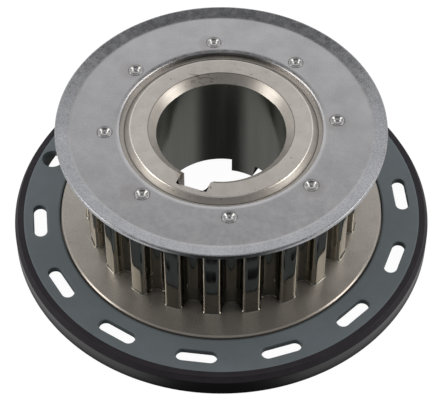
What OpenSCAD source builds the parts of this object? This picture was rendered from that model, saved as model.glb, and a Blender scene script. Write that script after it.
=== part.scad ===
// Toothed-belt crankshaft sprocket with two guide flanges and a rear
// ring for the speed sensor. The axis is Z and the front face looks up.
// The sprocket stands on the rear edge of the sensor ring, at z = 0.

/* [Belt teeth] */
// Number of teeth
teeth = 22; // [22:1:26]
// Pitch of the belt along its pitch line
tooth_pitch = 9.525; // [9.5:0.025:10]
// Height of the belt's pitch line above the tooth tips
pitch_line_rise = 0.686; // [0.4:0.002:0.8]
// Depth of a tooth space
groove_depth = 3.5; // [3:0.1:3.8]
// Radius of the round bottom of a tooth space
groove_r = 2.45; // [2.2:0.05:2.6]
// Radius of the corners of a tooth's tip
tip_round = 0.9; // [0.5:0.05:1.1]
// Width of the teeth between the two guide flanges
belt_face = 27.4; // [22:0.2:32]

/* [Bore and keyway] */
// Diameter of the bore
bore_d = 30; // [26:0.5:31]
// Width of the countersink at the front of the bore
bore_chamfer = 1.95; // [1:0.05:2.1]
// Width of the keyway
key_w = 7; // [5:0.5:8]
// Depth of the keyway below the wall of the bore
key_depth = 4.4; // [3:0.1:4.6]

/* [Hub face] */
// Diameter of the flat front face of the hub
hub_face_d = 42.2; // [41:0.2:42.6]
// Width of the bevel round the front face
hub_bevel = 1.25; // [0.7:0.05:1.9]

/* [Rear recess] */
// Diameter of the recess in the rear face
recess_d = 40; // [38:0.5:48]
// Depth of the recess
recess_depth = 4.4; // [3:0.1:6]
// Width of the driving lug left standing in the recess
lug_w = 5.4; // [4:0.2:8]

/* [Front flange] */
// Thickness of the flange's sheet
flange_t = 1.2; // [1:0.1:1.5]
// Reach of the flange beyond the tooth tips
flange_reach = 5.65; // [4:0.05:7]
// Width of the turned-up lip
lip_w = 3.1; // [2:0.1:3.6]
// Rise of the lip at its outer edge
lip_rise = 0.8; // [0.3:0.1:1.2]
// Inner radius of the bend between the flat sheet and the lip
lip_bend_r = 4; // [1:0.5:6]
// Gap between the foot of the hub's bevel and the flange's hole
flange_hole_gap = 1.1; // [0.6:0.1:1.4]

/* [Stakes] */
// Number of stakes that hold the flange
stakes = 8; // [6:1:10]
// Diameter of a stake's shank
stake_d = 2.8; // [2:0.1:3]
// Diameter of a stake's spread head
stake_head_d = 3.4; // [3.2:0.1:3.6]
// Diameter of the punch mark in a stake
pit_d = 2.6; // [1.8:0.1:2.8]
// Depth of the punch mark
pit_depth = 0.75; // [0.4:0.05:0.9]
// Distance from the edge of the flange's hole out to the stakes' centres
stake_inset = 3.415; // [2.6:0.005:3.6]
// Angle from the keyway to the first stake
stake_phase = 24.1; // [0:0.1:45]

/* [Rear guide disc] */
// Reach of the disc beyond the tooth tips
disc_reach = 6.1; // [4.5:0.1:7]
// Fall of the disc's front face from the teeth to its edge
disc_fall = 0.5; // [0:0.1:1]
// Chamfer on the disc's front edge
disc_chamfer = 0.45; // [0.2:0.05:0.8]
// Reach of the rear shoulder beyond the disc's edge
shoulder_reach = 1.4; // [0.8:0.1:2]
// Height of the rear shoulder
shoulder_h = 2.3; // [1.5:0.1:4]

/* [Sensor ring] */
// Thickness of the carrier's sheet
carrier_t = 1.6; // [1.2:0.1:2]
// Width of the carrier from the disc to its outer wall
carrier_w = 9.9; // [9:0.1:12]
// Outer radius of the bend into the carrier's outer wall
bend_r = 1.2; // [0.8:0.1:1.6]
// Number of slots
slots = 14; // [8:1:16]
// Length of a slot
slot_l = 9.6; // [6:0.1:11]
// Width of a slot
slot_w = 3.1; // [2:0.1:3.4]
// Distance from the disc's edge to the middle of the slots
slot_out = 5.15; // [4.6:0.05:5.4]
// Diameter of the round locating hole that takes the place of one slot
locating_hole_d = 5.2; // [3:0.1:5.6]
// Distance from the disc's edge to the middle of the locating hole
locating_hole_out = 5.9; // [5.2:0.05:6.1]
// Thickness of the magnet outside the carrier's wall
magnet_t = 1.5; // [1:0.1:2.5]
// Width of the magnet's flat front land
land_w = 1.45; // [1:0.05:1.8]
// Step beside the front land
land_step = 0.35; // [0.2:0.05:0.6]
// Height of the magnet's plain outer face
magnet_face_h = 4.35; // [3.4:0.05:4.8]
// Height of the magnet below the edge of the carrier's wall
magnet_foot = 0.6; // [0.4:0.1:1]
// Radius of the magnet's rear outer edge
magnet_round = 0.4; // [0.2:0.1:0.8]
// Distance from the magnet's rear edge to the rear face of the hub
rear_setback = 2; // [1:0.1:3]

/* [Hidden] */
$fn = 120;

// Running clearance between a stake and its hole
stake_gap = 0.05;
// Gap of the pressed and bonded joints of the sensor ring
joint_gap = 0.02;
// How far a cut runs past the face it opens
over = 1;
// Small edge breaks
edge_break = 0.3;
// Rise and width of the ridge that the punch raises round a stake
stake_ridge = 0.1;

key_az = -90;
lug_az = key_az + 180;

tip_r = teeth * tooth_pitch / (2 * PI) - pitch_line_rise;
root_r = tip_r - groove_depth;
bore_r = bore_d / 2;
hub_face_r = hub_face_d / 2;
hub_foot_r = hub_face_r + hub_bevel;
flange_hole_r = hub_foot_r + flange_hole_gap;
flange_r = tip_r + flange_reach;
stake_circle_r = flange_hole_r + stake_inset;
disc_r = tip_r + disc_reach;
shoulder_r = disc_r + shoulder_reach;
carrier_wall_r = disc_r + carrier_w;
magnet_r = carrier_wall_r + magnet_t;
slot_circle_r = disc_r + slot_out;
locating_hole_r = disc_r + locating_hole_out;
// The place among the slots, counted round from the keyway, that the hole takes
locating_hole_place = floor(3 * slots / 4);

rear_z = rear_setback;
carrier_z = rear_z + shoulder_h;
carrier_top_z = carrier_z + carrier_t;
disc_edge_z = carrier_top_z + disc_chamfer;
disc_front_z = disc_edge_z + disc_fall;
seat_z = disc_front_z + belt_face;
flange_top_z = seat_z + flange_t;
recess_z = rear_z + recess_depth;
bend_z = carrier_top_z - bend_r;
bend_centre_r = carrier_wall_r - bend_r;

// The centre of a tip corner lies where its circle touches both the
// side of the tooth space and the tip circle
corner_x = groove_r + tip_round;
corner_y = sqrt(pow(tip_r - tip_round, 2) - pow(corner_x, 2));

// Points of an arc, for the rounded stretches of a section
function arc(centre, r, from, to, steps = 4) = [for (i = [0:steps])
    let (a = from + (to - from) * i / steps) centre + r * [cos(a), sin(a)]];

module at_azimuths(count, first) {
    for (i = [0:count - 1]) rotate(first + i * 360 / count) children();
}

// One tooth space, drawn along +X with its flared mouth
module tooth_space() {
    mouth = (tip_r + over) / (tip_r - tip_round);
    translate([root_r + groove_r, 0]) circle(groove_r, $fn = 48);
    translate([root_r + groove_r, -groove_r]) square([groove_depth, 2 * groove_r]);
    for (side = [-1, 1]) scale([1, side]) difference() {
        polygon([[corner_y, 0], [corner_y, corner_x],
            [corner_y * mouth, corner_x * mouth], [corner_y * mouth, 0]]);
        translate([corner_y, corner_x]) circle(tip_round, $fn = 48);
    }
}

module toothed_outline() {
    difference() {
        circle(tip_r);
        at_azimuths(teeth, key_az + 180 / teeth) tooth_space();
    }
}

// Rear disc with its shoulder, the core under the teeth and the front hub
module body_section() {
    polygon([
        [0, rear_z], [shoulder_r - edge_break, rear_z],
        [shoulder_r, rear_z + edge_break], [shoulder_r, carrier_z],
        [disc_r, carrier_z], [disc_r, disc_edge_z - disc_chamfer],
        [disc_r - disc_chamfer, disc_edge_z], [tip_r, disc_front_z],
        [root_r - edge_break, disc_front_z], [root_r - edge_break, seat_z],
        [hub_foot_r, seat_z], [hub_face_r, flange_top_z], [0, flange_top_z]
    ]);
}

// A pip of the body, spread by a punch over the flange's countersunk hole
module stake() {
    head_z = flange_top_z - flange_t / 3;
    ridge_z = flange_top_z + stake_ridge;
    rotate_extrude($fn = 40) polygon([
        [0, seat_z - over], [stake_d / 2, seat_z - over],
        [stake_d / 2, head_z], [stake_head_d / 2, flange_top_z],
        [stake_head_d / 2 - stake_ridge, ridge_z], [pit_d / 2, ridge_z],
        [pit_d / 3, flange_top_z - pit_depth], [0, flange_top_z - pit_depth]
    ]);
}

module stake_hole() {
    head_z = flange_top_z - flange_t / 3;
    rotate_extrude($fn = 40) polygon([
        [0, seat_z - over], [stake_d / 2 + stake_gap, seat_z - over],
        [stake_d / 2 + stake_gap, head_z],
        [stake_head_d / 2 + stake_gap, flange_top_z],
        [stake_head_d / 2 + stake_gap, flange_top_z + over], [0, flange_top_z + over]
    ]);
}

module at_stakes() {
    at_azimuths(stakes, key_az + stake_phase) translate([stake_circle_r, 0, 0]) children();
}

// Bore, front countersink and the small rear edge break as one turned cut
module bore_cut() {
    rotate_extrude() polygon([
        [0, rear_z - over], [bore_r, rear_z - over], [bore_r, flange_top_z - bore_chamfer],
        [bore_r + bore_chamfer + over, flange_top_z + over], [0, flange_top_z + over]
    ]);
}

module keyway_cut() {
    rotate(key_az) translate([0, -key_w / 2, rear_z - over])
        cube([bore_r + key_depth, key_w, flange_top_z - rear_z + 2 * over]);
}

// The rear recess, without the lug that stands opposite the keyway
module recess_cut() {
    difference() {
        translate([0, 0, rear_z - over]) cylinder(r = recess_d / 2, h = recess_depth + over);
        rotate(lug_az) translate([0, -lug_w / 2, rear_z - 2 * over])
            cube([recess_d, lug_w, recess_depth + 3 * over]);
    }
}

module toothed_body() {
    color([0.62, 0.58, 0.54]) difference() {
        union() {
            rotate_extrude() body_section();
            translate([0, 0, disc_front_z - disc_fall / 2])
                linear_extrude(belt_face + disc_fall / 2) toothed_outline();
            at_stakes() stake();
        }
        bore_cut();
        keyway_cut();
        recess_cut();
    }
}

// Flat sheet from the hole to the crease, a slight bend, and the lip
module flange_section() {
    lip_angle = atan(lip_rise / lip_w);
    lip_top_z = flange_top_z + lip_rise;
    lip_low_z = lip_top_z - flange_t / cos(lip_angle);
    bend_centre = [flange_r - lip_w - lip_bend_r * tan(lip_angle / 2), flange_top_z + lip_bend_r];
    polygon(concat(
        [[flange_hole_r, seat_z]],
        arc(bend_centre, lip_bend_r + flange_t, -90, -90 + lip_angle),
        [[flange_r - edge_break, lip_low_z - edge_break * tan(lip_angle)],
            [flange_r, lip_low_z + edge_break], [flange_r, lip_top_z - edge_break],
            [flange_r - edge_break, lip_top_z - edge_break * tan(lip_angle)]],
        arc(bend_centre, lip_bend_r, -90 + lip_angle, -90),
        [[flange_hole_r + edge_break, flange_top_z],
            [flange_hole_r, flange_top_z - edge_break]]
    ));
}

module front_flange() {
    color([0.65, 0.64, 0.65]) difference() {
        rotate_extrude() flange_section();
        at_stakes() stake_hole();
    }
}

// The carrier's sheet runs out from the disc and turns down into a wall
module carrier_section() {
    inner_r = disc_r + joint_gap;
    polygon(concat(
        [[inner_r, carrier_z], [inner_r, carrier_top_z - edge_break],
            [inner_r + edge_break, carrier_top_z]],
        arc([bend_centre_r, bend_z], bend_r, 90, 0, 8),
        [[carrier_wall_r, magnet_foot], [carrier_wall_r - carrier_t, magnet_foot],
            [carrier_wall_r - carrier_t, carrier_z]]
    ));
}

// A straight slot with round ends, across the radius
module slot_cut() {
    half = (slot_l - slot_w) / 2;
    for (end = [-half, half]) translate([slot_circle_r, end, carrier_z - over])
        cylinder(d = slot_w, h = carrier_t + 2 * over, $fn = 48);
    translate([slot_circle_r - slot_w / 2, -half, carrier_z - over])
        cube([slot_w, 2 * half, carrier_t + 2 * over]);
}

module locating_hole_cut() {
    translate([locating_hole_r, 0, carrier_z - over])
        cylinder(d = locating_hole_d, h = carrier_t + 2 * over, $fn = 64);
}

module sensor_ring_carrier() {
    color([0.36, 0.40, 0.42]) difference() {
        rotate_extrude() carrier_section();
        for (i = [0:slots - 1]) rotate(key_az + (i + 0.5) * 360 / slots)
            if (i == locating_hole_place) locating_hole_cut();
            else slot_cut();
    }
}

// The magnet wraps the carrier's wall, its bend and its rear edge
module magnet_section() {
    wall_r = carrier_wall_r + joint_gap;
    inner_r = carrier_wall_r - carrier_t;
    land_r = magnet_r - (magnet_r - wall_r) / 2;
    difference() {
        polygon(concat(
            [[inner_r, 0]],
            arc([magnet_r - magnet_round, magnet_round], magnet_round, -90, 0),
            [[magnet_r, magnet_face_h],
                [land_r, carrier_top_z - land_step], [land_r, carrier_top_z],
                [land_r - land_w, carrier_top_z], [land_r - land_w, bend_z],
                [inner_r, bend_z]]
        ));
        translate([0, magnet_foot - joint_gap])
            square([wall_r, bend_z - magnet_foot + joint_gap]);
        translate([bend_centre_r, bend_z]) circle(bend_r + joint_gap, $fn = 64);
    }
}

module magnet_rim() {
    color([0.13, 0.12, 0.13]) rotate_extrude() magnet_section();
}

toothed_body();
front_flange();
sensor_ring_carrier();
magnet_rim();
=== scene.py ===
import math

import bmesh
import bpy
from mathutils import Matrix, Vector


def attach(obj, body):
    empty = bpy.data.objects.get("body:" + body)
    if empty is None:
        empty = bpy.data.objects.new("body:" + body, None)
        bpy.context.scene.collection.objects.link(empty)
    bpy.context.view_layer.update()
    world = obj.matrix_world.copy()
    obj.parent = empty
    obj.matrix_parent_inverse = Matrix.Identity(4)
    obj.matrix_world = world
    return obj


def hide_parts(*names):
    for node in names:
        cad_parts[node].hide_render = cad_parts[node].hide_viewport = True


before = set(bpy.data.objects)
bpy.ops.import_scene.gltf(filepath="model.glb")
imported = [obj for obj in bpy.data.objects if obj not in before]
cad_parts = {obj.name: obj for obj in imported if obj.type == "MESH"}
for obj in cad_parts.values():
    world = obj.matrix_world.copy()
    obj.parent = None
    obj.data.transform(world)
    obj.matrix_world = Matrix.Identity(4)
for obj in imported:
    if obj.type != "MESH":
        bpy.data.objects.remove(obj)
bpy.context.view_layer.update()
mm = 0.001
seamWeld = 0.002    # mm, for joining rings to the rest
nearEdge = 0.06     # mm, from an edge to the points beside it that keep its sides flat
creaseAngle = 38    # degrees, from which an edge stays sharp
print("frame loaded:", sorted(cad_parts))


# Camera, at the angle of the photograph

view = {
    "lens": 147.29,
    "sensor": 36,
    "distance": 415.06,    # mm, from the middle of the front flange's face
    "height": 48.4067,     # degrees above that face
    "heading": 20.3,       # degrees, the way it looks, turned from +Y
    "pitch": 50.7529,
    "yaw": 0.0636,
    "roll": -0.0824,
    "aimZ": 35.45,
}


def makeCamera():
    heading = math.radians(view["heading"])
    rise = math.radians(view["height"])
    away = view["distance"] * math.cos(rise)
    here = Vector((math.sin(heading) * away, -math.cos(heading) * away,
                   view["aimZ"] + view["distance"] * math.sin(rise))) * mm
    look = (Matrix.Rotation(heading + math.radians(view["yaw"]), 4, "Z")
            @ Matrix.Rotation(math.radians(90 - view["pitch"]), 4, "X")
            @ Matrix.Rotation(math.radians(view["roll"]), 4, "Z"))
    data = bpy.data.cameras.new("photoCamera")
    data.lens = view["lens"]
    data.sensor_width = view["sensor"]
    data.clip_start = 0.01
    camera = bpy.data.objects.new("photoCamera", data)
    camera.matrix_world = Matrix.Translation(here) @ look
    bpy.context.scene.collection.objects.link(camera)
    bpy.context.scene.camera = camera


makeCamera()


# Small helpers for sections and skins

def rounded(corners, steps=4):
    # each corner is (r, z) or (r, z, radius); a radius becomes an arc
    line = []
    for i, corner in enumerate(corners):
        here = Vector(corner[:2])
        turn = corner[2] if len(corner) > 2 else 0
        if not turn:
            line.append(tuple(here))
            continue
        before = (Vector(corners[i - 1][:2]) - here).normalized()
        after = (Vector(corners[(i + 1) % len(corners)][:2]) - here).normalized()
        half = before.angle(after) / 2
        reach = turn / math.tan(half)
        middle = here + (before + after).normalized() * turn / math.sin(half)
        start = here + before * reach - middle
        end = here + after * reach - middle
        sweep = start.angle_signed(end)
        for k in range(steps + 1):
            spoke = start.copy()
            spoke.rotate(Matrix.Rotation(-sweep * k / steps, 2))
            line.append(tuple(middle + spoke))
    return line


def supported(line, near=nearEdge):
    # points close to both ends of each long stretch, so that it shades flat
    out = [line[0]]
    for a, b in zip(line, line[1:]):
        a, b = Vector(a), Vector(b)
        length = (b - a).length
        if length > near * 4:
            out += [tuple(a.lerp(b, near / length)), tuple(b.lerp(a, near / length))]
        out.append(tuple(b))
    return out


def circleRow(r, z, angles):
    return [(r * math.cos(a), r * math.sin(a), z) for a in angles]


def skins(strips):
    # quads between neighbouring rows; a closed strip joins each row's ends
    points, faces = [], []
    for rows, closed in strips:
        first = len(points)
        wide = len(rows[0])
        for row in rows:
            points += row
        for i in range(len(rows) - 1):
            for j in range(wide if closed else wide - 1):
                a = first + i * wide + j
                b = first + i * wide + (j + 1) % wide
                faces.append((a, b, b + wide, a + wide))
    return points, faces


def makeMesh(name, strips, weld=0.001, outward=True):
    points, faces = skins(strips)
    mesh = bpy.data.meshes.new(name)
    mesh.from_pydata([tuple(c * mm for c in p) for p in points], [], faces)
    work = bmesh.new()
    work.from_mesh(mesh)
    bmesh.ops.remove_doubles(work, verts=work.verts, dist=weld * mm)
    if outward:
        bmesh.ops.recalc_face_normals(work, faces=work.faces)
    work.to_mesh(mesh)
    work.free()
    return mesh


def finishMesh(mesh):
    for face in mesh.polygons:
        face.use_smooth = True
    mesh.set_sharp_from_angle(angle=math.radians(creaseAngle))


def addPiece(name, mesh, nodes=()):
    piece = bpy.data.objects.new(name, mesh)
    bpy.context.scene.collection.objects.link(piece)
    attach(piece, "root")
    if nodes:
        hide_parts(*nodes)
    print(name, "made,", len(mesh.polygons), "faces")


# One Geometry Nodes tree turns a sector or a single stake into a whole ring

def ringTree():
    tree = bpy.data.node_groups.new("ringOfCopies", "GeometryNodeTree")
    face = tree.interface
    face.new_socket("Geometry", in_out="OUTPUT", socket_type="NodeSocketGeometry")
    face.new_socket("Geometry", in_out="INPUT", socket_type="NodeSocketGeometry")
    face.new_socket("Copies", in_out="INPUT", socket_type="NodeSocketInt")
    face.new_socket("Per Turn", in_out="INPUT", socket_type="NodeSocketInt")
    face.new_socket("First Angle", in_out="INPUT", socket_type="NodeSocketFloat")
    face.new_socket("Weld Distance", in_out="INPUT", socket_type="NodeSocketFloat")
    face.new_socket("Material", in_out="INPUT", socket_type="NodeSocketMaterial")
    make = tree.nodes.new
    link = tree.links.new
    given = make("NodeGroupInput")
    out = make("NodeGroupOutput")
    asCopy = make("GeometryNodeGeometryToInstance")
    points = make("GeometryNodePoints")
    place = make("GeometryNodeInstanceOnPoints")
    index = make("GeometryNodeInputIndex")
    step = make("ShaderNodeMath")
    step.operation = "DIVIDE"
    step.inputs[0].default_value = 2 * math.pi
    turn = make("ShaderNodeMath")
    turn.operation = "MULTIPLY_ADD"
    angles = make("ShaderNodeCombineXYZ")
    real = make("GeometryNodeRealizeInstances")
    weld = make("GeometryNodeMergeByDistance")
    paint = make("GeometryNodeSetMaterial")
    link(given.outputs["Per Turn"], step.inputs[1])
    link(index.outputs[0], turn.inputs[0])
    link(step.outputs[0], turn.inputs[1])
    link(given.outputs["First Angle"], turn.inputs[2])
    link(turn.outputs[0], angles.inputs["Z"])
    link(given.outputs["Copies"], points.inputs["Count"])
    link(given.outputs["Geometry"], asCopy.inputs[0])
    link(points.outputs[0], place.inputs["Points"])
    link(asCopy.outputs[0], place.inputs["Instance"])
    link(angles.outputs[0], place.inputs["Rotation"])
    link(place.outputs[0], real.inputs[0])
    link(real.outputs[0], weld.inputs["Geometry"])
    link(given.outputs["Weld Distance"], weld.inputs["Distance"])
    link(weld.outputs[0], paint.inputs["Geometry"])
    link(given.outputs["Material"], paint.inputs["Material"])
    link(paint.outputs[0], out.inputs[0])
    return tree


ringOfCopies = ringTree()


def ringMesh(name, sector, copies, firstAngle, material, weld=seamWeld, perTurn=0):
    holder = bpy.data.objects.new(name + "Sector", sector)
    bpy.context.scene.collection.objects.link(holder)
    ring = holder.modifiers.new("ring", "NODES")
    ring.node_group = ringOfCopies
    wanted = {"Copies": copies, "Per Turn": perTurn or copies, "First Angle": firstAngle,
              "Weld Distance": weld * mm, "Material": material}
    for item in ringOfCopies.interface.items_tree:
        if item.in_out == "INPUT" and item.name in wanted:
            ring[item.identifier] = wanted[item.name]
    bpy.context.view_layer.update()
    whole = holder.evaluated_get(bpy.context.evaluated_depsgraph_get())
    mesh = bpy.data.meshes.new_from_object(whole)
    mesh.name = name
    holder.modifiers.remove(ring)
    bpy.data.objects.remove(holder)
    return mesh


def finishRing(name, mesh, nodes):
    work = bmesh.new()
    work.from_mesh(mesh)
    bmesh.ops.recalc_face_normals(work, faces=work.faces)
    print(name, "open edges:", sum(1 for e in work.edges if not e.is_manifold))
    work.to_mesh(mesh)
    work.free()
    finishMesh(mesh)
    addPiece(name, mesh, nodes)


# Materials

def newMaterial(name, **values):
    material = bpy.data.materials.new(name)
    material.use_nodes = True
    shader = material.node_tree.nodes["Principled BSDF"]
    for socket, value in values.items():
        shader.inputs[socket.replace("_", " ")].default_value = value
    return material, material.node_tree, shader


def addNode(tree, kind, settings=None, **values):
    made = tree.nodes.new(kind)
    for key, value in (settings or {}).items():
        setattr(made, key, value)
    for socket, value in values.items():
        made.inputs[socket.replace("_", " ")].default_value = value
    return made


def objectPlace(tree):
    return addNode(tree, "ShaderNodeTexCoord").outputs["Object"]


def noise(tree, place, size, detail=3, rough=0.55, stretch=None):
    # size is the width of a blotch in mm
    if stretch:
        warp = addNode(tree, "ShaderNodeMapping", Scale=stretch)
        tree.links.new(place, warp.inputs["Vector"])
        place = warp.outputs[0]
    made = addNode(tree, "ShaderNodeTexNoise", Scale=1 / (size * mm), Detail=detail, Roughness=rough)
    tree.links.new(place, made.inputs["Vector"])
    return made.outputs["Fac"]


def ramp(tree, value, low, high, colorLow, colorHigh):
    made = addNode(tree, "ShaderNodeValToRGB")
    made.color_ramp.elements[0].position = low
    made.color_ramp.elements[0].color = (*colorLow, 1)
    made.color_ramp.elements[1].position = high
    made.color_ramp.elements[1].color = (*colorHigh, 1)
    tree.links.new(value, made.inputs[0])
    return made.outputs[0]


def span(tree, value, low, high, outLow, outHigh):
    made = addNode(tree, "ShaderNodeMapRange")
    for socket, number in (("From Min", low), ("From Max", high), ("To Min", outLow), ("To Max", outHigh)):
        made.inputs[socket].default_value = number
    tree.links.new(value, made.inputs["Value"])
    return made.outputs[0]


def feed(tree, socket, value):
    # a number or a colour is set, an output is linked
    if isinstance(value, tuple):
        socket.default_value = (*value, 1)
    elif isinstance(value, (int, float)):
        socket.default_value = value
    else:
        tree.links.new(value, socket)


def blendColors(tree, factor, a, b, mode="MIX"):
    made = addNode(tree, "ShaderNodeMix", {"data_type": "RGBA", "blend_type": mode})
    for socket, value in ((0, factor), (6, a), (7, b)):
        feed(tree, made.inputs[socket], value)
    return made.outputs[2]


def blendValues(tree, factor, a, b):
    made = addNode(tree, "ShaderNodeMix", {"data_type": "FLOAT"})
    for socket, value in ((0, factor), (2, a), (3, b)):
        feed(tree, made.inputs[socket], value)
    return made.outputs[0]


def mixShaders(tree, factor, a, b):
    made = addNode(tree, "ShaderNodeMixShader")
    for socket, value in zip(made.inputs, (factor, a, b)):
        feed(tree, socket, value)
    return made.outputs[0]


def bump(tree, shader, height, depth):
    # depth in mm
    made = addNode(tree, "ShaderNodeBump", Strength=1, Distance=depth * mm)
    tree.links.new(height, made.inputs["Height"])
    tree.links.new(made.outputs[0], shader.inputs["Normal"])


def flattened(tree, place):
    # a place or a direction with its height left out
    split = addNode(tree, "ShaderNodeSeparateXYZ")
    flat = addNode(tree, "ShaderNodeCombineXYZ")
    tree.links.new(place, split.inputs[0])
    for axis in "XY":
        tree.links.new(split.outputs[axis], flat.inputs[axis])
    return flat.outputs[0]


def radius(tree, place):
    # distance from the axis, in metres
    size = addNode(tree, "ShaderNodeVectorMath", {"operation": "LENGTH"})
    tree.links.new(flattened(tree, place), size.inputs[0])
    return size.outputs["Value"]


def turnedLines(tree, place, pitch):
    # fine concentric marks of the lathe, pitch in mm
    flat = addNode(tree, "ShaderNodeCombineXYZ")
    tree.links.new(radius(tree, place), flat.inputs["X"])
    return noise(tree, flat.outputs[0], pitch, detail=4, rough=0.7)


def worked(tree, operation, a, b=0.0):
    made = addNode(tree, "ShaderNodeMath", {"operation": operation})
    feed(tree, made.inputs[0], a)
    feed(tree, made.inputs[1], b)
    return made.outputs[0]


def product(tree, a, b):
    return worked(tree, "MULTIPLY", a, b)


def larger(tree, a, b):
    return worked(tree, "MAXIMUM", a, b)


def smaller(tree, a, b):
    return worked(tree, "MINIMUM", a, b)


def band(tree, value, inner, outer, soft):
    # one between inner and outer, zero outside, all in mm
    rise = span(tree, value, (inner - soft) * mm, inner * mm, 0, 1)
    fall = span(tree, value, outer * mm, (outer + soft) * mm, 1, 0)
    return smaller(tree, rise, fall)


def across(tree, value, ring, outLow, outHigh):
    # from one level to another over the width of a ring
    return span(tree, value, ring[0] * mm, ring[1] * mm, outLow, outHigh)


def spot(tree, place, middle, reach, soft):
    # one inside a ball round a point, in mm
    away = addNode(tree, "ShaderNodeVectorMath", {"operation": "DISTANCE"})
    away.inputs[1].default_value = [c * mm for c in middle]
    tree.links.new(place, away.inputs[0])
    return span(tree, away.outputs["Value"], reach * mm, (reach + soft) * mm, 1, 0)


# Where the finishes change, and where shade and highlights are painted: rings between two radii, and spots
# with a reach and a soft edge, in mm

rings = {
    "countersinkLine": (16.88, 17.0),
    "hubCorner": (20.98, 21.22),
    "hubBevel": (21.35, 22.4),
    "gapShade": (21.9, 23.8),
    "grooveFloor": (22.35, 23.6),
    "grooveLine": (22.42, 22.7),
    "holeEdge": (22.5, 23.75),
    "toothSpace": (28, 31.3),
    "toothCorner": (31.9, 32.5),
    "toothLand": (32.62, 33),
    "lipStart": (35.0, 35.5),
    "lipRim": (37.9, 38.1),
    "discRim": (38.48, 38.8),
    "carrierSeam": (39.0, 39.7),
    "magnetSide": (50.08, 50.15),
}
spots = {
    "scratches": ((-9.4, 12.9, 34.4), 2.2, 1.8),
    "gapShade": ((-9.8, 20.6, 34.6), 1.3, 1.2),
    "keywayStain": ((-3.5, -16.6, 34.4), 0.5, 1.2),
    "holeShade": ((-8, 22, 35.45), 8, 5),
}
stakeLine = (1.78, 0.25)    # reach and soft edge of the dark line round a stake
stakeSmudge = (1.6, 1.6)    # and of the brown smudge beside it


def hubSteel():
    material, tree, shader = newMaterial(
        "hubSteel", Metallic=1, Roughness=0.5, Anisotropic=0.35, Anisotropic_Rotation=0.25)
    place = objectPlace(tree)
    away = radius(tree, place)
    lines = turnedLines(tree, place, 0.35)
    cloud = noise(tree, place, 3, detail=5, rough=0.65)
    tint = ramp(tree, cloud, 0.3, 0.7, (0.61, 0.571, 0.53), (0.70, 0.658, 0.613))
    # painted shade: a dark line at the countersink's edge, and darkening in the groove under the flange
    grooveShade = larger(tree, product(tree, band(tree, away, *rings["countersinkLine"], 0.06), 0.65),
                     product(tree, band(tree, away, *rings["grooveLine"], 0.15), 0.85))
    grooveShade = larger(tree, grooveShade, product(tree, band(tree, away, *rings["grooveFloor"], 0.1), 0.62))
    tint = blendColors(tree, grooveShade, tint, (0.035, 0.033, 0.032))
    # small pits, and short scratches on the far side of the countersink
    specks = noise(tree, place, 0.55, detail=2, rough=0.4)
    pits = ramp(tree, specks, 0.70, 0.76, (1, 1, 1), (0.45, 0.42, 0.40))
    tint = blendColors(tree, 1.0, tint, pits, "MULTIPLY")
    scratches = noise(tree, place, 0.4, detail=1, rough=0.3, stretch=(0.09, 0.9, 1.2))
    scratched = product(tree, span(tree, scratches, 0.58, 0.68, 0, 0.55),
                        spot(tree, place, *spots["scratches"]))
    tint = blendColors(tree, scratched, tint, (0.12, 0.10, 0.09))
    # painted shade: a near-black patch on the far side of the gap under the flange
    shadeMask = product(tree, spot(tree, place, *spots["gapShade"]), band(tree, away, *rings["gapShade"], 0.3))
    tint = blendColors(tree, product(tree, shadeMask, 0.9), tint, (0.02, 0.02, 0.02))
    stain = product(tree, spot(tree, place, *spots["keywayStain"]), 0.75)
    tint = blendColors(tree, stain, tint, (0.26, 0.16, 0.10))
    # the bevel is dull; the corner above it is bright with wear, and painted brighter as a highlight
    bevel = band(tree, away, *rings["hubBevel"], 0.12)
    tint = blendColors(tree, product(tree, bevel, 0.18), tint, (0.10, 0.095, 0.09))
    corner = band(tree, away, *rings["hubCorner"], 0.06)
    tint = blendColors(tree, product(tree, corner, 0.5), tint, (0.90, 0.87, 0.83))
    tree.links.new(tint, shader.inputs["Base Color"])
    rough = larger(tree, span(tree, lines, 0.35, 0.65, 0.35, 0.49), product(tree, bevel, 0.49))
    rough = smaller(tree, rough, span(tree, corner, 0, 1, 1, 0.27))
    tree.links.new(rough, shader.inputs["Roughness"])
    bump(tree, shader, lines, 0.006)
    return material


def boreSteel():
    # honed round, so its shine spreads up and down
    material, tree, shader = newMaterial(
        "boreSteel", Metallic=1, Roughness=0.2, Anisotropic=0.75, Anisotropic_Rotation=0.25)
    place = objectPlace(tree)
    streaks = noise(tree, place, 3, stretch=(1, 1, 0.08))
    tint = ramp(tree, streaks, 0.3, 0.7, (0.36, 0.37, 0.335), (0.46, 0.465, 0.425))
    tree.links.new(tint, shader.inputs["Base Color"])
    tree.links.new(span(tree, streaks, 0.3, 0.7, 0.16, 0.26), shader.inputs["Roughness"])
    return material


def toothSteel():
    # dark steel, bright with wear at the corners of the tips, where a highlight is painted too
    material, tree, shader = newMaterial("toothSteel", Metallic=1, Roughness=0.12)
    place = objectPlace(tree)
    away = radius(tree, place)
    streaks = noise(tree, place, 2, stretch=(2, 2, 0.25))
    tint = ramp(tree, streaks, 0.3, 0.7, (0.31, 0.295, 0.26), (0.38, 0.365, 0.32))
    # painted highlight: the tip corners are painted brighter
    wornAndHighlight = product(tree, band(tree, away, *rings["toothCorner"], 0.1), 0.8)
    tint = blendColors(tree, wornAndHighlight, tint, (0.56, 0.54, 0.49))
    land = product(tree, band(tree, away, *rings["toothLand"], 0.02), 0.34)
    tint = blendColors(tree, land, tint, (0.10, 0.105, 0.10))
    # painted shade: the tooth spaces are darker than the tips
    space = product(tree, band(tree, away, *rings["toothSpace"], 0.5), 0.5)
    tint = blendColors(tree, space, tint, (0.05, 0.045, 0.038))
    tree.links.new(tint, shader.inputs["Base Color"])
    tree.links.new(span(tree, streaks, 0.3, 0.7, 0.05, 0.11), shader.inputs["Roughness"])
    return material


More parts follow.
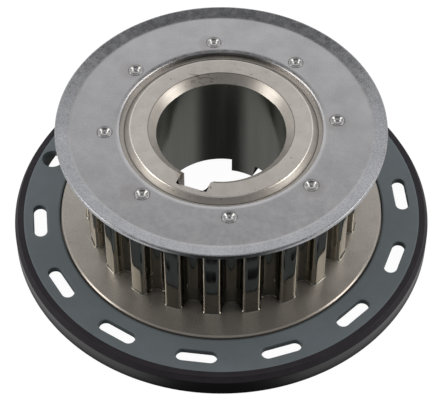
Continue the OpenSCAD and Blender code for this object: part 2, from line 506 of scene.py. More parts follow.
def discSteel():
    material, tree, shader = newMaterial(
        "discSteel", Metallic=0.74, Roughness=0.3, Anisotropic=0.4, Anisotropic_Rotation=0.25)
    place = objectPlace(tree)
    grain = noise(tree, place, 0.35)
    cloud = noise(tree, place, 5, detail=4)
    tint = ramp(tree, grain, 0.3, 0.7, (0.455, 0.42, 0.377), (0.555, 0.52, 0.475))
    shade = ramp(tree, cloud, 0.3, 0.7, (0.92, 0.92, 0.92), (1, 1, 1))
    tint = blendColors(tree, 1.0, tint, shade, "MULTIPLY")
    # its rim is bright with wear, and painted brighter as a highlight
    rim = band(tree, radius(tree, place), *rings["discRim"], 0.06)
    tint = blendColors(tree, rim, tint, (0.66, 0.61, 0.55))
    tree.links.new(tint, shader.inputs["Base Color"])
    tree.links.new(span(tree, cloud, 0.3, 0.7, 0.27, 0.33), shader.inputs["Roughness"])
    bump(tree, shader, grain, 0.002)
    return material


def flangeZinc():
    material, tree, shader = newMaterial("flangeZinc", Metallic=1, Roughness=0.36)
    place = objectPlace(tree)
    away = radius(tree, place)
    cloud = noise(tree, place, 7, detail=6, rough=0.6)
    mottle = noise(tree, place, 1.3, rough=0.5)
    grain = noise(tree, place, 0.38, detail=2, rough=0.5)
    tint = ramp(tree, cloud, 0.3, 0.7, (0.49, 0.486, 0.499), (0.60, 0.591, 0.604))
    shade = ramp(tree, mottle, 0.3, 0.7, (0.93, 0.93, 0.935), (1, 1, 1))
    tint = blendColors(tree, 1.0, tint, shade, "MULTIPLY")
    # a dark line round each stake, and faint brown smudges by some
    for count in range(stake["count"]):
        turn = math.radians(stake["firstAngle"] + 360 * count / stake["count"])
        x, y = stake["circleR"] * math.cos(turn), stake["circleR"] * math.sin(turn)
        edge = spot(tree, place, (x, y, body["faceZ"]), *stakeLine)
        tint = blendColors(tree, product(tree, edge, 0.45), tint, (0.20, 0.19, 0.19))
        if count % 3:
            lean = 1.2 - 0.5 * count
            mark = spot(tree, place, (x + lean, y - 0.6, body["faceZ"]), *stakeSmudge)
            tint = blendColors(tree, product(tree, mark, 0.28), tint, (0.34, 0.31, 0.29))
    # the lip is coarser, and colder
    lip = across(tree, away, rings["lipStart"], 0, 1)
    coarse = ramp(tree, grain, 0.35, 0.65, (0.67, 0.695, 0.725), (0.93, 0.94, 0.955))
    tint = blendColors(tree, lip, tint, blendColors(tree, 1.0, tint, coarse, "MULTIPLY"))
    tree.links.new(span(tree, mottle, 0.3, 0.7, 0.23, 0.34), shader.inputs["Roughness"])
    # painted shade: darker in the far side of the centre hole
    shadeMask = product(tree, spot(tree, place, *spots["holeShade"]), band(tree, away, *rings["holeEdge"], 0.15))
    tint = blendColors(tree, product(tree, shadeMask, 0.75), tint, (0.06, 0.06, 0.062))
    tree.links.new(tint, shader.inputs["Base Color"])
    # smooth on the flat and at the rim
    height = product(tree, across(tree, away, rings["lipStart"], 0.04, 1),
                     across(tree, away, rings["lipRim"], 1, 0.1))
    bump(tree, shader, product(tree, grain, height), 0.03)
    return material


def stakeSteel():
    material, tree, shader = newMaterial("stakeSteel", Metallic=1, Roughness=0.25)
    place = objectPlace(tree)
    grain = noise(tree, place, 1.2, detail=2)
    tint = ramp(tree, grain, 0.3, 0.7, (0.42, 0.42, 0.425), (0.53, 0.53, 0.535))
    tree.links.new(tint, shader.inputs["Base Color"])
    tree.links.new(span(tree, grain, 0.3, 0.7, 0.23, 0.31), shader.inputs["Roughness"])
    return material


def carrierSlate():
    material, tree, shader = newMaterial("carrierSlate", Roughness=0.6, Specular_IOR_Level=0.35)
    place = objectPlace(tree)
    cloud = noise(tree, place, 9, detail=5, rough=0.6)
    grain = noise(tree, place, 0.35)
    tint = ramp(tree, cloud, 0.3, 0.7, (0.158, 0.188, 0.206), (0.184, 0.219, 0.240))
    # painted shade: dark beside the seam round the disc
    seamShade = product(tree, across(tree, radius(tree, place), rings["carrierSeam"], 1, 0), 0.8)
    tint = blendColors(tree, seamShade, tint, (0.012, 0.012, 0.013))
    tree.links.new(tint, shader.inputs["Base Color"])
    tree.links.new(span(tree, grain, 0.3, 0.7, 0.54, 0.66), shader.inputs["Roughness"])
    bump(tree, shader, grain, 0.006)
    return material


def magnetBlack():
    material, tree, shader = newMaterial("magnetBlack", Roughness=0.6, Specular_IOR_Level=0.3)
    place = objectPlace(tree)
    away = radius(tree, place)
    grain = noise(tree, place, 0.3)
    cloud = noise(tree, place, 6, detail=4)
    tint = ramp(tree, cloud, 0.3, 0.7, (0.026, 0.022, 0.030), (0.036, 0.031, 0.041))
    # the outer face is blacker and smoother
    side = across(tree, away, rings["magnetSide"], 0, 1)
    tint = blendColors(tree, side, tint, (0.009, 0.009, 0.011))
    tree.links.new(tint, shader.inputs["Base Color"])
    rough = blendValues(tree, side, span(tree, grain, 0.3, 0.7, 0.58, 0.72), 0.3)
    tree.links.new(rough, shader.inputs["Roughness"])
    bump(tree, shader, grain, 0.004)
    return material


# The toothed body: hub and disc lofted on plan outlines, teeth as one sector copied round

body = {
    "teeth": 22,
    "tipR": 32.665,
    "rootR": 29.165,
    "grooveR": 2.45,
    "tipRound": 0.9,
    "footFillet": 0.28,
    "boreR": 15,
    "chamfer": 1.95,
    "keyHalf": 3.5,
    "keyFloor": 19.4,
    "keyCorner": 0.15,
    "hubFaceR": 21.1,
    "hubFootR": 22.35,
    "recessR": 20,
    "recessZ": 6.4,
    "lugHalf": 2.7,
    "rearZ": 2,
    "shoulderTopZ": 4.3,
    "shoulderR": 40.165,
    "discR": 38.765,
    "discChamfer": 0.32,
    "discEdgeZ": 6.35,
    "frontZ": 6.85,
    "seatZ": 34.25,
    "faceZ": 35.45,
    "edgeRound": 0.12,
    "keyEdge": 0.25,        # how far the bore runs over into the keyway's walls
    "toothEase": 0.25,      # chamfer at the front end of the teeth
    "joinR": 24,            # where the disc's skin meets the hub's, on the rear face
    "faceMidR": 20,         # where the bore's section meets the hub's, on the front face
    "seatR": 28.3,          # last round row on the flange's seat, inside the teeth
    "floorR": 34.4,         # first round row on the disc, outside the teeth
    "slopeR": 36.2,         # start of the disc's own section
    "hubRound": 0.42,
    "hubFootRound": 0.08,
    "boreRound": 0.15,
    "recessChamfer": 0.2,
    "lugRound": 0.3,
    "shoulderChamfer": 0.3,
    "shoulderRound": 0.1,
}
grooveSteps = 8
cornerSteps = 7
landSteps = 3
filletSteps = 5
pitchColumns = 2 * (grooveSteps + cornerSteps + landSteps)
columns = body["teeth"] * pitchColumns
bodyAngles = [math.radians(-90 + 360 * j / columns) for j in range(columns)]


def halfTooth(offset):
    # from the middle of a tooth space at +X to the middle of the next tooth
    middle = body["rootR"] + body["grooveR"]
    side = body["grooveR"] + body["tipRound"]
    up = math.sqrt((body["tipR"] - body["tipRound"]) ** 2 - side ** 2)
    lean = math.atan2(side, up)
    last = math.pi - math.acos((middle - up) / body["grooveR"])
    line = []
    for i in range(grooveSteps + 1):
        a = math.pi + (last - math.pi) * i / grooveSteps
        r = body["grooveR"] - offset
        line.append((middle + r * math.cos(a), r * math.sin(a)))
    for i in range(1, cornerSteps + 1):
        a = -math.pi / 2 + (lean + math.pi / 2) * i / cornerSteps
        r = body["tipRound"] + offset
        line.append((up + r * math.cos(a), side + r * math.sin(a)))
    for i in range(1, landSteps + 1):
        a = lean + (math.pi / body["teeth"] - lean) * i / landSteps
        r = body["tipR"] + offset
        line.append((r * math.cos(a), r * math.sin(a)))
    return line


def toothPitch(offset, z):
    half = halfTooth(offset)
    return [(x, -y, z) for x, y in half[:0:-1]] + [(x, y, z) for x, y in half]


def toothRing(offset, z):
    pitch = toothPitch(offset, z)[:-1]
    ring = []
    for k in range(body["teeth"]):
        a = math.radians(-90 + 360 * (k + 0.5) / body["teeth"])
        c, s = math.cos(a), math.sin(a)
        ring += [(c * x - s * y, s * x + c * y, z) for x, y, z in pitch]
    return ring


def mirrored(half):
    # the whole ring from its half, which runs from the keyway's middle to the lug's
    return half + [(-x, y, z) for x, y, z in half[-2:0:-1]]


keyFloorSteps = 9
keyCornerSteps = 4
keyWallSteps = 9
keyEdgeSteps = 3
keyColumns = keyFloorSteps + keyCornerSteps + keyWallSteps + keyEdgeSteps
lugColumn = 373     # where the lug's side meets its end
lugRoundSteps = 3
lugSideSteps = 12


def boreAngles(r, wide):
    start = math.asin(wide / r) + body["keyEdge"] / r
    half = columns // 2
    return [start + (math.pi - start) * (j - keyColumns) / (half - keyColumns)
            for j in range(keyColumns, half + 1)]


def boreRing(r, z, ease=0.0):
    # plan outline of the bore with its keyway; ease opens the keyway's edges
    wide = body["keyHalf"] + ease
    deep = body["keyFloor"] + ease
    turn = body["keyCorner"]
    start = math.sqrt(r * r - wide * wide)
    line = []
    for i in range(keyFloorSteps):
        line.append(((wide - turn) * i / keyFloorSteps, deep))
    for i in range(keyCornerSteps):
        a = math.pi / 2 * (1 - i / keyCornerSteps)
        line.append((wide - turn + turn * math.cos(a), deep - turn + turn * math.sin(a)))
    for i in range(keyWallSteps):
        line.append((wide, (deep - turn) + (start + body["keyEdge"] - deep + turn) * i / keyWallSteps))
    arc = boreAngles(r, wide)
    a, b = Vector((wide, start + body["keyEdge"])), Vector((wide, start))
    c = Vector((r * math.sin(arc[0]), r * math.cos(arc[0])))
    for i in range(keyEdgeSteps):
        t = i / keyEdgeSteps
        line.append(tuple(a * (1 - t) ** 2 + b * 2 * t * (1 - t) + c * t * t))
    line += [(r * math.sin(a), r * math.cos(a)) for a in arc]
    return mirrored([(u, -v, z) for u, v in line])


def recessRing(z, ease):
    # plan outline of the rear recess, with the lug standing in at +Y
    r = body["recessR"] + ease
    wide = body["lugHalf"] - ease
    inner = boreAngles(body["boreR"], body["keyHalf"])
    end = math.pi - math.asin(wide / r) - body["lugRound"] / r
    arcColumns = lugColumn - lugRoundSteps - lugSideSteps
    line = [(r * math.sin(end * j / arcColumns), r * math.cos(end * j / arcColumns))
            for j in range(arcColumns)]
    lugEnd = inner[lugColumn - keyColumns]
    foot = Vector((wide, -math.sqrt(r * r - wide * wide)))
    inside = body["boreR"] + ease
    tip = Vector((inside * math.sin(lugEnd), inside * math.cos(lugEnd)))
    a = Vector((r * math.sin(end), r * math.cos(end)))
    b = foot + (tip - foot).normalized() * body["lugRound"]
    for i in range(lugRoundSteps):
        t = i / lugRoundSteps
        line.append(tuple(a * (1 - t) ** 2 + foot * 2 * t * (1 - t) + b * t * t))
    line += [tuple(b.lerp(tip, i / lugSideSteps)) for i in range(lugSideSteps)]
    line += [(inside * math.sin(a), inside * math.cos(a)) for a in inner[lugColumn - keyColumns:]]
    return mirrored([(u, -v, z) for u, v in line])


def between(rowA, rowB, t):
    return [tuple(Vector(a).lerp(Vector(b), t)) for a, b in zip(rowA, rowB)]


def discZ(r):
    edge = body["discR"] - body["discChamfer"]
    fall = (body["frontZ"] - body["discEdgeZ"]) / (edge - body["tipR"])
    return body["frontZ"] - fall * max(0, r - body["tipR"])


def onDisc(row):
    return [(x, y, discZ(math.hypot(x, y))) for x, y, z in row]


def discRows():
    foot = toothRing(body["footFillet"], body["frontZ"])
    ring = circleRow(body["floorR"], 0, bodyAngles)
    rows = [onDisc(between(foot, ring, t)) for t in (0, 0.06, 0.35, 0.7, 1)]
    edge = body["discR"] - body["discChamfer"]
    ease, cut, turn = body["edgeRound"], body["shoulderChamfer"], body["shoulderRound"]
    outer = supported(rounded([
        (body["slopeR"], discZ(body["slopeR"])), (edge, body["discEdgeZ"], ease),
        (body["discR"], body["discEdgeZ"] - body["discChamfer"], ease),
        (body["discR"], body["shoulderTopZ"]),
        (body["shoulderR"], body["shoulderTopZ"]),
        (body["shoulderR"], body["rearZ"] + cut, turn), (body["shoulderR"] - cut, body["rearZ"], turn),
        (body["joinR"], body["rearZ"]),
    ]))
    return rows + [circleRow(r, z, bodyAngles) for r, z in outer]


def hubRows():
    # from the rear face through the recess and the bore to the hub's bevel
    z, ease, turn = body["rearZ"], body["recessChamfer"], body["boreRound"]
    rows = [circleRow(body["joinR"], z, bodyAngles)]
    rows += [recessRing(z, ease + nearEdge), recessRing(z, ease),
             recessRing(z + ease, 0), recessRing(z + ease + nearEdge, 0)]
    rows += [recessRing(body["recessZ"], 0), boreRing(body["boreR"], body["recessZ"])]
    top = body["faceZ"]
    wall = supported(rounded([
        (body["boreR"], body["recessZ"] + 0.05), (body["boreR"], top - body["chamfer"], turn),
        (body["boreR"] + body["chamfer"], top, turn), (body["boreR"] + body["chamfer"] + 0.3, top),
    ]))
    rows += [boreRing(r, h, max(0, h - top + turn)) for r, h in wall]
    outer = supported(rounded([
        (body["faceMidR"], top), (body["hubFaceR"], top, body["hubRound"]),
        (body["hubFootR"], body["seatZ"], body["hubFootRound"]), (body["hubFootR"] + 0.2, body["seatZ"]),
    ]))
    rows += [circleRow(r, h, bodyAngles) for r, h in outer]
    seat = circleRow(body["seatR"], body["seatZ"], bodyAngles)
    rows += [seat, toothRing(-body["toothEase"], body["seatZ"])]
    return rows


def toothSector():
    z, top, f = body["frontZ"], body["seatZ"], body["footFillet"]
    ease = body["toothEase"]
    rows = [toothPitch(-ease, top), toothPitch(0, top - ease), toothPitch(0, top - ease - 0.1)]
    rows += [toothPitch(0, z + f + 0.1)]
    for i in range(filletSteps + 1):
        a = math.pi / 2 * i / filletSteps
        row = onDisc(toothPitch(f * (1 - math.cos(a)), 0))
        rows.append([(x, y, h + f * (1 - math.sin(a))) for x, y, h in row])
    return makeMesh("toothSector", [(rows, False)], outward=False)


def makeBody():
    # finishes 0 to 3: hub, bore, teeth, disc
    finishes = [hubSteel(), boreSteel(), toothSteel(), discSteel()]
    firstAngle = math.radians(-90 + 180 / body["teeth"])
    teeth = ringMesh("teeth", toothSector(), body["teeth"], firstAngle, finishes[2])
    turned = makeMesh("toothedBody", [(discRows(), True), (hubRows(), True)], outward=False)
    work = bmesh.new()
    work.from_mesh(turned)
    work.from_mesh(teeth)
    bmesh.ops.remove_doubles(work, verts=work.verts, dist=seamWeld * mm)
    bmesh.ops.recalc_face_normals(work, faces=work.faces)
    for face in work.faces:
        x, y, z = face.calc_center_median() / mm
        r = math.hypot(x, y)
        if z > body["frontZ"] and body["rootR"] - 0.3 < r:
            face.material_index = 2
        elif r > body["joinR"]:
            face.material_index = 3
        elif r < body["boreR"] + 0.1:
            face.material_index = 1
        else:
            face.material_index = 0
    loose = sum(1 for edge in work.edges if not edge.is_manifold)
    work.to_mesh(turned)
    work.free()
    for finish in finishes:
        turned.materials.append(finish)
    finishMesh(turned)
    print("toothed body open edges:", loose)
    addPiece("toothedBody", turned, ["toothed_body"])


# The stakes' spread heads, punched from the body over the flange

stake = {
    "count": 8,
    "circleR": 26.865,
    "firstAngle": -65.9,
    "shankR": 1.4,
    "headR": 1.7,
    "pitR": 1.38,
    "dishR": 1.75,
    "ridge": 0.04,
    "rim": 0.02,            # the pit's edge, above the flange's face
    "coneDepth": 0.4,       # of the flange's countersunk holes
    "footZ": 33.6,
    "columns": 48,
    "dishSteps": 9,
    "weld": 0.0005,
    "ringWeld": 0.0001,
}


def makeStakes():
    top, foot = body["faceZ"], stake["footZ"]
    line = supported(rounded([
        (0, foot), (stake["shankR"], foot, 0.1), (stake["shankR"], top - stake["coneDepth"]),
        (stake["headR"], top - stake["rim"], 0.06), (stake["headR"] - 0.14, top + stake["ridge"], 0.1),
        (stake["pitR"] + 0.06, top + stake["ridge"], 0.05), (stake["pitR"], top + stake["rim"]),
    ]), 0.04)
    edge = math.asin(stake["pitR"] / stake["dishR"])
    middle = top + stake["rim"] + stake["dishR"] * math.cos(edge)
    steps = stake["dishSteps"]
    line += [(stake["dishR"] * math.sin(a), middle - stake["dishR"] * math.cos(a))
             for a in (edge * (1 - i / steps) for i in range(1, steps + 1))]
    angles = [2 * math.pi * j / stake["columns"] for j in range(stake["columns"])]
    rows = [[(x + stake["circleR"], y, z) for x, y, z in circleRow(r, h, angles)] for r, h in line]
    single = makeMesh("stakeHead", [(rows, True)], weld=stake["weld"])
    firstAngle = math.radians(stake["firstAngle"])
    mesh = ringMesh("stakeHeads", single, stake["count"], firstAngle, stakeSteel(), stake["ringWeld"])
    finishMesh(mesh)
    addPiece("stakeHeads", mesh)


# The front flange: a sector with one stake hole, copied round

flange = {
    "copies": 8,
    "holeR": 23.45,
    "patchIn": 24.8,
    "patchOut": 29.5,
    "creaseR": 35.215,
    "edgeR": 38.315,
    "rise": 0.8,
    "sheet": 1.2,
    "bend": 4,
    "edgeRound": 0.3,
    "stakeHoleR": 1.75,
    "stakeShankR": 1.45,
    "arcSteps": 36,
    "sideSteps": 8,
    "rollDepth": 0.52,
    # the punch rolled the centre hole's edge down; each point is how far out and how far down
    "roll": [(0.03, 0.45), (0.06, 0.34), (0.14, 0.25), (0.28, 0.17), (0.5, 0.09), (0.78, 0.03), (1.1, 0)],
}


def patchEdge(piece, outer, z):
    # round the edge of a sector's patch, from the outer arc's low end
    half, inner = math.pi / piece["copies"], piece["patchIn"]
    arc, side = piece["arcSteps"], piece["sideSteps"]
    line = [(outer, -half + 2 * half * i / arc) for i in range(arc)]
    line += [(outer + (inner - outer) * i / side, half) for i in range(side)]
    line += [(inner, half - 2 * half * i / arc) for i in range(arc)]
    line += [(inner + (outer - inner) * i / side, -half) for i in range(side)]
    return [(r * math.cos(a), r * math.sin(a), z) for r, a in line]


def holeRow(piece, at, r, z):
    # a round hole's outline, lined up with the edge of the piece's patch
    total = 2 * (piece["arcSteps"] + piece["sideSteps"])
    angles = [2 * math.pi * (i - piece["arcSteps"] / 2) / total for i in range(total)]
    return [(at + x, y, z) for x, y, z in circleRow(r, z, angles)]


def sectorMesh(name, piece, outer, rim, patch):
    # the sections outside and inside the patch are swept over one sector
    half, steps = math.pi / piece["copies"], piece["arcSteps"]
    angles = [-half + 2 * half * i / steps for i in range(steps + 1)]
    strips = [([circleRow(r, z, angles) for r, z in line], False) for line in (outer, rim)]
    return makeMesh(name, strips + [(patch, True)], outward=False)


def makeFlange():
    top, low = body["faceZ"], body["seatZ"]
    lip = supported(rounded([
        (flange["patchOut"], top), (flange["creaseR"], top, flange["bend"]),
        (flange["edgeR"], top + flange["rise"], flange["edgeRound"]),
        (flange["edgeR"], low + flange["rise"], flange["edgeRound"]),
        (flange["creaseR"], low, flange["bend"] + flange["sheet"]), (flange["patchOut"], low),
    ], 5))
    rim = supported(rounded([
        (flange["patchIn"], low), (flange["holeR"], low, 0.1),
        (flange["holeR"], top - flange["rollDepth"]),
    ]))
    rim += [(flange["holeR"] + r, top - h) for r, h in flange["roll"]] + [(flange["patchIn"], top)]
    shank, cone = flange["stakeShankR"], flange["stakeHoleR"]
    bore = supported([(shank, low), (shank, top - stake["coneDepth"]), (cone, top)], 0.05)
    line = [(shank + 0.1, low)] + bore + [(cone + nearEdge, top)]
    holes = [holeRow(flange, stake["circleR"], r, z) for r, z in line]
    lowEdge, topEdge = [patchEdge(flange, flange["patchOut"], z) for z in (low, top)]
    rows = [lowEdge] + holes[:-1] + [between(holes[-1], topEdge, t) for t in (0, 0.3, 1)]
    sector = sectorMesh("flangeSector", flange, lip, rim, rows)
    firstAngle = math.radians(stake["firstAngle"])
    mesh = ringMesh("frontFlange", sector, flange["copies"], firstAngle, flangeZinc())
    finishRing("frontFlange", mesh, ["front_flange"])


# The slotted carrier: a sector with one slot, copied round

carrier = {
    "copies": 14,
    "innerR": 39.0,
    "patchIn": 39.7,
    "patchOut": 47.37,
    "patchLowOut": 47.02,
    "bendR": 47.465,
    "bendZ": 4.7,
    "bend": 1.2,
    "wallR": 48.665,
    "sheet": 1.6,
    "lowZ": 4.3,
    "footZ": 0.6,
    "slotR": 43.915,
    "slotLength": 9.6,
    "slotWidth": 3.1,
    "arcSteps": 24,
    "sideSteps": 8,
    "bendSteps": 8,
    "slotSideSteps": 9,
    "slotEndSteps": 14,
    "roundHoleR": 2.6,      # one round locating hole takes the place of a slot
    "roundHoleAt": 44.665,
    "roundHoleLean": 0.2,   # its outer side leans in on its way down, clear of the wall
}


def slotRow(grow, z):
    # the slot's outline from the middle of its outer side, then lined up with the patch's edge
    straight = (carrier["slotLength"] - carrier["slotWidth"]) / 2
    end = carrier["slotWidth"] / 2 + grow
    n, m = carrier["slotSideSteps"], carrier["slotEndSteps"]
    half = [(end, straight * i / n) for i in range(n)]
    angles = [math.pi * i / m for i in range(m)]
    half += [(end * math.cos(a), straight + end * math.sin(a)) for a in angles]
    half += [(-end, straight - straight * i / n) for i in range(n)]
    line = half + [(-x, -y) for x, y in half]
    shift = carrier["arcSteps"] // 2
    line = line[-shift:] + line[:-shift]
    return [(carrier["slotR"] + x, y, z) for x, y in line]


def roundHoleRow(grow, z):
    lean = carrier["roundHoleLean"] * (carrier["lowZ"] + carrier["sheet"] - z) / carrier["sheet"]
    return holeRow(carrier, carrier["roundHoleAt"] - lean, carrier["roundHoleR"] + grow - lean, z)


def carrierSector(holeAt, roll):
    low = carrier["lowZ"]
    top = low + carrier["sheet"]
    bendTop = [(carrier["bendR"] + carrier["bend"] * math.sin(a),
                carrier["bendZ"] + carrier["bend"] * math.cos(a))
               for a in (math.pi / 2 * i / carrier["bendSteps"] for i in range(carrier["bendSteps"] + 1))]
    inside = carrier["wallR"] - carrier["sheet"]
    wall = rounded([(carrier["wallR"], carrier["bendZ"] - 0.5), (carrier["wallR"], carrier["footZ"], 0.1),
                    (inside, carrier["footZ"], 0.1), (inside, low - 0.1)])
    outer = [(carrier["patchOut"], top)] + bendTop + wall + [(carrier["patchLowOut"], low)]
    rim = supported(rounded([
        (carrier["patchIn"], low), (carrier["innerR"], low, 0.1),
        (carrier["innerR"], top, 0.3), (carrier["patchIn"], top),
    ]))
    hole = [holeAt(grow, z) for grow, z in rounded(roll)]
    topEdge = patchEdge(carrier, carrier["patchOut"], top)
    lowEdge = patchEdge(carrier, carrier["patchLowOut"], low)
    rows = [topEdge, between(topEdge, hole[0], 0.5)] + hole + [lowEdge]
    return sectorMesh("carrierSector", carrier, outer, rim, rows)


def makeCarrier():
    low = carrier["lowZ"]
    top = low + carrier["sheet"]
    count = carrier["copies"]
    slate = carrierSlate()
    slotted = carrierSector(slotRow, [(0.6, top), (0, top, 0.22), (0, low, 0.06), (0.3, low)])
    holed = carrierSector(roundHoleRow, [(0.095, top), (0, top, 0.09), (0, low, 0.05), (0.15, low)])
    firstSlot = math.pi + 2 * math.pi / count
    mesh = ringMesh("sensorRingCarrier", slotted, count - 1, firstSlot, slate, perTurn=count)
    last = ringMesh("locatingHole", holed, 1, math.pi, slate)
    work = bmesh.new()
    work.from_mesh(mesh)
    work.from_mesh(last)
    bmesh.ops.remove_doubles(work, verts=work.verts, dist=seamWeld * mm)
    for face in work.faces:
        face.material_index = 0
    work.to_mesh(mesh)
    work.free()
    mesh.materials.clear()
    mesh.materials.append(slate)
    finishRing("sensorRingCarrier", mesh, ["sensor_ring_carrier"])


# The black magnet moulded round the carrier's wall

magnet = {
    "outerR": 50.165,
    "faceZ": 4.35,
    "landOutR": 49.425,
    "landInR": 47.975,
    "step": 0.35,
    "topZ": 5.9,
    "innerR": 47.065,
    "wallR": 48.685,
    "gap": 0.02,        # between the magnet and the carrier's wall
    "gapZ": 0.58,
    "columns": 360,
    "bendSteps": 6,
}


def makeMagnet():
    bendR, bendZ, bend = carrier["bendR"], carrier["bendZ"], carrier["bend"] + magnet["gap"]
    start = math.asin((magnet["landInR"] - bendR) / bend)
    steps = magnet["bendSteps"]
    under = [(bendR + bend * math.sin(a), bendZ + bend * math.cos(a))
             for a in (start + (math.pi / 2 - start) * i / steps for i in range(steps + 1))]
    line = rounded([
        (magnet["innerR"], magnet["gapZ"]), (magnet["innerR"], 0, 0.15), (magnet["outerR"], 0, 0.3),
        (magnet["outerR"], magnet["faceZ"], 0.25),
        (magnet["landOutR"], magnet["topZ"] - magnet["step"], 0.05),
        (magnet["landOutR"], magnet["topZ"], 0.14), (magnet["landInR"], magnet["topZ"], 0.12), under[0],
    ])
    foot = [(magnet["wallR"], magnet["gapZ"]), (magnet["innerR"], magnet["gapZ"])]
    line = supported(line + under[1:] + foot)
    angles = [2 * math.pi * j / magnet["columns"] for j in range(magnet["columns"])]
    mesh = makeMesh("magnetRim", [([circleRow(r, z, angles) for r, z in line], True)])
    mesh.materials.append(magnetBlack())
    finishRing("magnetRim", mesh, ["magnet_rim"])


makeBody()
makeStakes()
makeFlange()
makeCarrier()
makeMagnet()


# Floor, world and lamps

studio = {
    "floorSize": 8,
    "floorGlow": 0.965,
    "floorWhite": 0.12,
    "mirrorWhite": 0.85,
    "shadeR": (50.3, 51.6),     # mm, where the floor leaves the object's shade
    "shadeLevel": 0.22,
    "frontDarkSpread": (0.5, 1.25),  # slopes to either side between which the dark in front ends
    "frontDarkLevel": 0.03,
    "backLevel": 0.85,          # towards the backdrop
    "frontLevel": 0.125,        # behind the camera
    "backSides": (-0.05, 0.85), # cosines between which the backdrop's sides fade
    "topLevel": 0.15,           # high up at the back
    "frontTop": (0.86, 0.96),   # heights over which the front gets bright
    "frontTopLevel": 0.85,
    "backTop": (0.72, 0.84),    # heights over which the backdrop ends
    "topSides": (-0.6, 0.3),    # cosines over which the high front turns into the high back
    "lampDistance": 0.9,        # m
    "lampColor": (1, 0.965, 0.91),
}
# on each side a lamp, and a second one above and behind it; sizes in m, and swings in degrees
# from the way the camera looks
lamps = {
    "Lamp": {"power": 1.85, "size": (0.32, 0.60), "swing": 101, "rise": 33},
    "LampHigh": {"power": 0.75, "size": (0.36, 0.22), "swing": 65, "rise": 51},
}


def along(tree, place, x, y):
    made = addNode(tree, "ShaderNodeVectorMath", {"operation": "DOT_PRODUCT"})
    made.inputs[1].default_value = (x, y, 0)
    tree.links.new(place, made.inputs[0])
    return made.outputs["Value"]


def makeFloor():
    size = studio["floorSize"] / 2
    mesh = bpy.data.meshes.new("floor")
    corners = [(-size, -size, 0), (size, -size, 0), (size, size, 0), (-size, size, 0)]
    mesh.from_pydata(corners, [], [(0, 1, 2, 3)])
    floor = bpy.data.objects.new("floor", mesh)
    bpy.context.scene.collection.objects.link(floor)
    material = bpy.data.materials.new("whiteFloor")
    material.use_nodes = True
    tree = material.node_tree
    tree.nodes.clear()
    # the camera sees a white floor; metal sees it white too, but with painted shade: dim under the object
    # and dark where it looks towards the front
    rays = addNode(tree, "ShaderNodeLightPath")
    place = objectPlace(tree)
    level = across(tree, radius(tree, place), studio["shadeR"], studio["shadeLevel"], studio["mirrorWhite"])
    ahead = math.radians(90 + view["heading"])
    came = addNode(tree, "ShaderNodeNewGeometry").outputs["Incoming"]
    forward = larger(tree, along(tree, came, math.cos(ahead), math.sin(ahead)), 0.001)
    aside = worked(tree, "ABSOLUTE", along(tree, came, math.sin(ahead), -math.cos(ahead)))
    slope = worked(tree, "DIVIDE", aside, forward)
    bright = product(tree, level, span(tree, slope, *studio["frontDarkSpread"], 0, 1))
    mirrored = larger(tree, bright, studio["frontDarkLevel"])
    plain = addNode(tree, "ShaderNodeBsdfDiffuse", Color=(0.8, 0.8, 0.8, 1))
    seen = addNode(tree, "ShaderNodeAddShader")
    paint = addNode(tree, "ShaderNodeBsdfDiffuse", Color=(*[studio["floorWhite"]] * 3, 1))
    glow = addNode(tree, "ShaderNodeEmission", Strength=studio["floorGlow"])
    tree.links.new(paint.outputs[0], seen.inputs[0])
    tree.links.new(glow.outputs[0], seen.inputs[1])
    reflected = addNode(tree, "ShaderNodeEmission")
    tree.links.new(mirrored, reflected.inputs["Strength"])
    byCamera = mixShaders(tree, rays.outputs["Is Camera Ray"], plain.outputs[0], seen.outputs[0])
    inMetal = larger(tree, rays.outputs["Is Glossy Ray"], rays.outputs["Is Transmission Ray"])
    byMetal = mixShaders(tree, inMetal, byCamera, reflected.outputs[0])
    out = addNode(tree, "ShaderNodeOutputMaterial")
    tree.links.new(byMetal, out.inputs[0])
    mesh.materials.append(material)


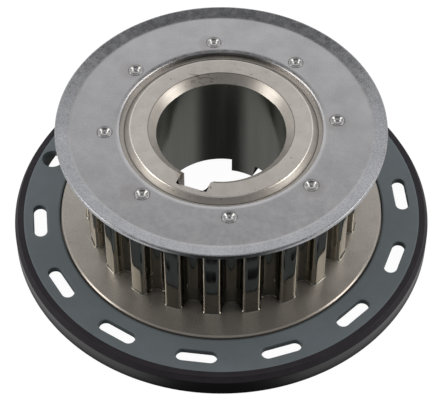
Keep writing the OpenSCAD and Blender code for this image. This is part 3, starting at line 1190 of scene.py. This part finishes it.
def makeWorld():
    # a bright backdrop under a dim ceiling, and a dim front that is bright high up
    world = bpy.data.worlds.new("studio")
    world.use_nodes = True
    tree = world.node_tree
    tree.nodes.clear()
    heading = math.radians(90 + view["heading"])
    place = addNode(tree, "ShaderNodeTexCoord").outputs["Generated"]
    split = addNode(tree, "ShaderNodeSeparateXYZ")
    tree.links.new(place, split.inputs[0])
    up = split.outputs["Z"]
    flat = addNode(tree, "ShaderNodeVectorMath", {"operation": "NORMALIZE"})
    tree.links.new(flattened(tree, place), flat.inputs[0])
    back = along(tree, flat.outputs[0], math.cos(heading), math.sin(heading))
    around = span(tree, back, *studio["backSides"], studio["frontLevel"], studio["backLevel"])
    frontTop = span(tree, up, *studio["frontTop"], studio["frontLevel"], studio["frontTopLevel"])
    top = blendValues(tree, span(tree, back, *studio["topSides"], 0, 1), frontTop, studio["topLevel"])
    sky = blendValues(tree, span(tree, up, *studio["backTop"], 0, 1), around, top)
    light = addNode(tree, "ShaderNodeBackground", Color=(1, 1, 1, 1))
    tree.links.new(sky, light.inputs["Strength"])
    seen = addNode(tree, "ShaderNodeBackground", Color=(1, 1, 1, 1), Strength=1)
    rays = addNode(tree, "ShaderNodeLightPath")
    mix = mixShaders(tree, rays.outputs["Is Camera Ray"], light.outputs[0], seen.outputs[0])
    out = addNode(tree, "ShaderNodeOutputWorld")
    tree.links.new(mix, out.inputs[0])
    bpy.context.scene.world = world


def addLamp(name, azimuth, lamp):
    data = bpy.data.lights.new(name, "AREA")
    data.shape = "RECTANGLE"
    data.size, data.size_y = lamp["size"]
    data.energy = lamp["power"]
    data.color = studio["lampColor"]
    placed = bpy.data.objects.new(name, data)
    a, e = math.radians(azimuth), math.radians(lamp["rise"])
    away = Vector((math.cos(a) * math.cos(e), math.sin(a) * math.cos(e), math.sin(e)))
    placed.location = away * studio["lampDistance"]
    placed.rotation_euler = away.to_track_quat("Z", "Y").to_euler()
    bpy.context.scene.collection.objects.link(placed)


makeFloor()
makeWorld()
ahead = 90 + view["heading"]
for side, turn in (("left", 1), ("right", -1)):
    for kind, lamp in lamps.items():
        addLamp(side + kind, ahead + turn * lamp["swing"], lamp)
bpy.context.scene.view_settings.view_transform = "Standard"
print("studio made")
